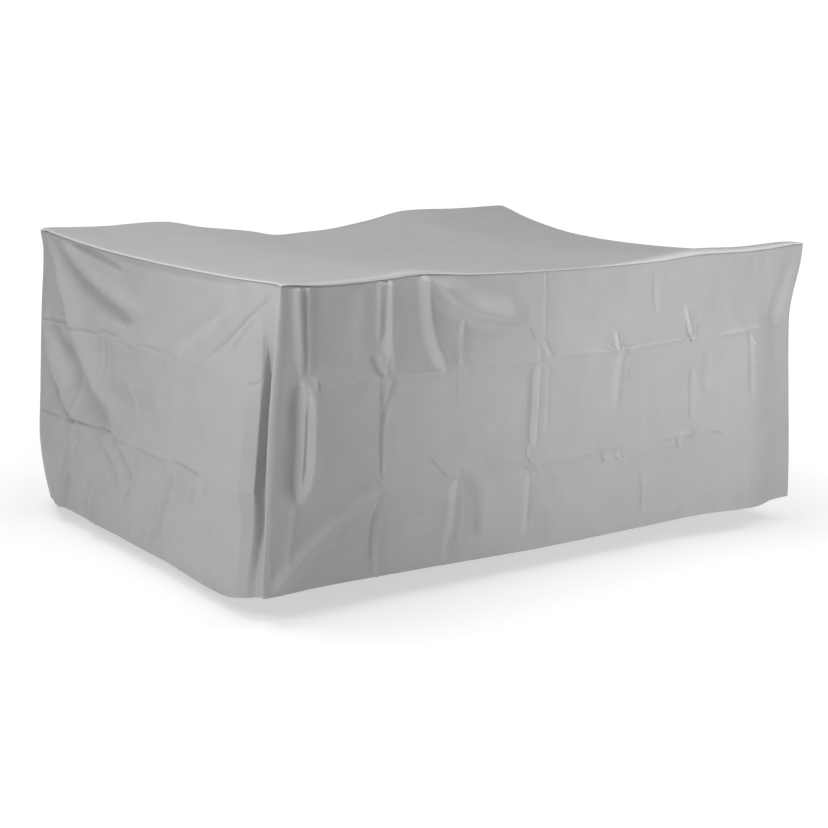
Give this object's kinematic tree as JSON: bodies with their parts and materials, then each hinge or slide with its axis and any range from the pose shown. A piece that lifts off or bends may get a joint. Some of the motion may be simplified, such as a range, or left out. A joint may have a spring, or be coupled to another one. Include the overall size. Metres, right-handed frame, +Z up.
{
  "type": "patio furniture cover",
  "caption": "Fitted rectangular cover of coated cloth for garden furniture, open below, shown in the creased shape in which it hangs.",
  "frame": {"origin": "underside of the top panel at the middle of the cover, where what it covers holds it up", "axes": "+X along the long side, +Y from the front wall to the back wall, +Z up"},
  "size_m": [2.3385, 1.8422, 1.0285],
  "materials": {
    "cover_cloth": "plain light grey coated polyester, fine weave, soft satin sheen"
  },
  "bodies": {
    "root": {"top_panel": "cover_cloth", "wall_front": "cover_cloth", "wall_left": "cover_cloth", "wall_right": "cover_cloth", "wall_back": "cover_cloth"}
  },
  "joints": []
}
